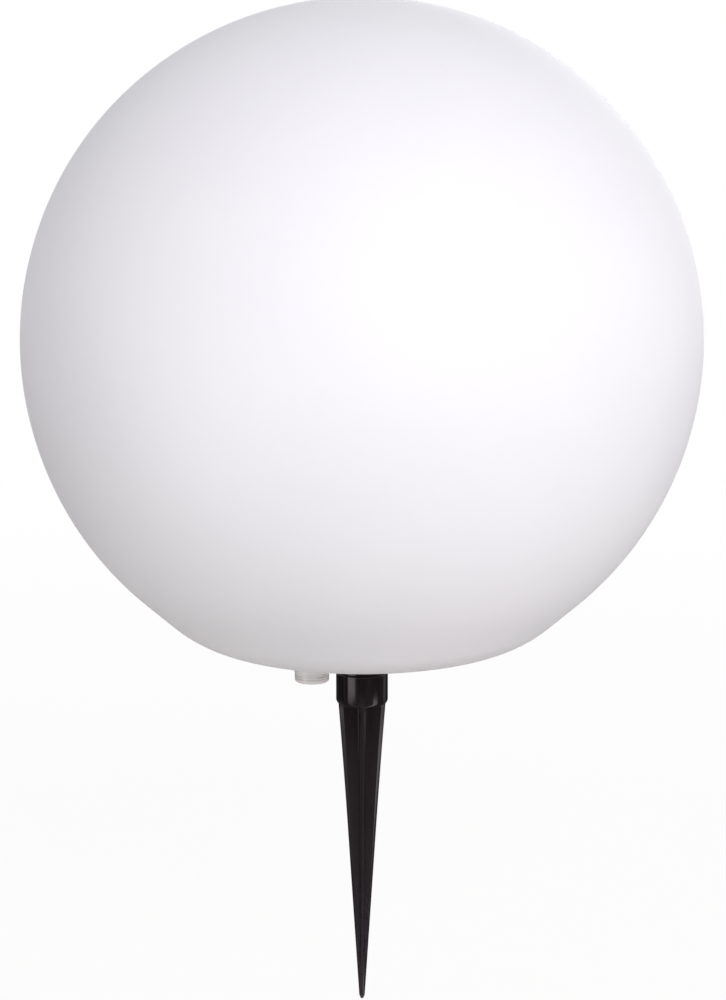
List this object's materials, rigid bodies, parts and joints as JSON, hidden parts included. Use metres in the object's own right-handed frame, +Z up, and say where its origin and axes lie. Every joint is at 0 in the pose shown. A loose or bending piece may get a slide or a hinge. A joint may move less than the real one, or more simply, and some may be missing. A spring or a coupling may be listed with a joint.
{
  "type": "garden globe light",
  "caption": "White moulded globe light with a flat foot on a black ground spike, holding a sealed rechargeable light unit with a push switch and a charging door.",
  "frame": {"origin": "on the spike's axis at the ground line, where the collar's lower end meets the soil", "axes": "+Z up along the spike and through the globe's centre, -Y towards the viewer of the picture, +X to its right"},
  "size_m": [0.3, 0.2998, 0.4545],
  "materials": {
    "globe_polyethylene": "moulded, fine satin skin, lets light through",
    "white_abs": "moulded, satin",
    "black_plastic": "moulded, glossy",
    "seal_rubber": "matt silicone",
    "steel": "zinc plated",
    "brass": "turned",
    "circuit_board": "green solder mask over glass laminate",
    "connector_nylon": "moulded",
    "component_black": "moulded epoxy",
    "cell_sleeve": "shrunk plastic sleeve",
    "aluminium": "turned",
    "light_board_white": "white solder mask",
    "light_chip": "phosphor under clear resin",
    "clear_lens": "clear moulded polycarbonate",
    "lead_sleeve": "extruded sleeve"
  },
  "bodies": {
    "spike": {"ground_spike": "black_plastic"},
    "light_unit": {"spike_boss": "black_plastic", "boss_seal": "seal_rubber", "boss_screw": "steel", "base_plate": "white_abs", "globe_gasket": "seal_rubber", "screw_retainers": "seal_rubber", "globe_screws": "steel", "switch_spring": "steel", "switch_barrel": "black_plastic", "switch_seal": "seal_rubber", "switch_nut": "black_plastic", "switch_block": "black_plastic", "switch_terminals": "brass", "door_pin": "steel", "charge_socket": "black_plastic", "charge_pin": "brass", "charge_seal": "seal_rubber", "charge_nut": "steel", "charge_terminals": "brass", "unit_housing": "white_abs", "housing_seal": "seal_rubber", "housing_screws": "steel", "control_board": "circuit_board", "board_screws": "steel", "board_connectors": "connector_nylon", "board_parts": "component_black", "battery_tray": "black_plastic", "tray_screws": "steel", "battery_cells": "cell_sleeve", "cell_tabs": "steel", "battery_clamps": "black_plastic", "clamp_screws": "steel", "heat_spreader": "aluminium", "light_board": "light_board_white", "light_chips": "light_chip", "light_board_screws": "steel", "lens_dome": "clear_lens", "lens_seal": "seal_rubber", "lens_ring": "white_abs", "lens_screws": "steel", "light_leads": "lead_sleeve", "battery_leads": "lead_sleeve", "switch_leads": "lead_sleeve", "charge_leads": "lead_sleeve"},
    "globe": {"globe_shell": "globe_polyethylene", "thread_inserts": "brass"},
    "switch_button": {"switch_cap": "white_abs", "switch_plunger": "black_plastic"},
    "charge_cover": {"charge_door": "white_abs", "door_pad": "seal_rubber"}
  },
  "joints": [
    {"name": "lamp_pull", "type": "slide", "parent": "spike", "child": "light_unit", "axis": [0, 0, 1], "range_m": [0, 0.03]},
    {"name": "globe_lift", "type": "slide", "parent": "light_unit", "child": "globe", "axis": [0, 0, 1], "range_m": [0, 0.12]},
    {"name": "switch_press", "type": "slide", "parent": "light_unit", "child": "switch_button", "axis": [0, 0, 1], "range_m": [0, 0.0015], "stiffness_N_per_m": 400, "springref_m": -0.002, "deforming": ["switch_spring"]},
    {"name": "door_hinge", "type": "hinge", "parent": "light_unit", "child": "charge_cover", "pos_m": [0, 0.0242, 0.03], "axis": [-1, 0, 0], "range_deg": [0, 90]}
  ]
}
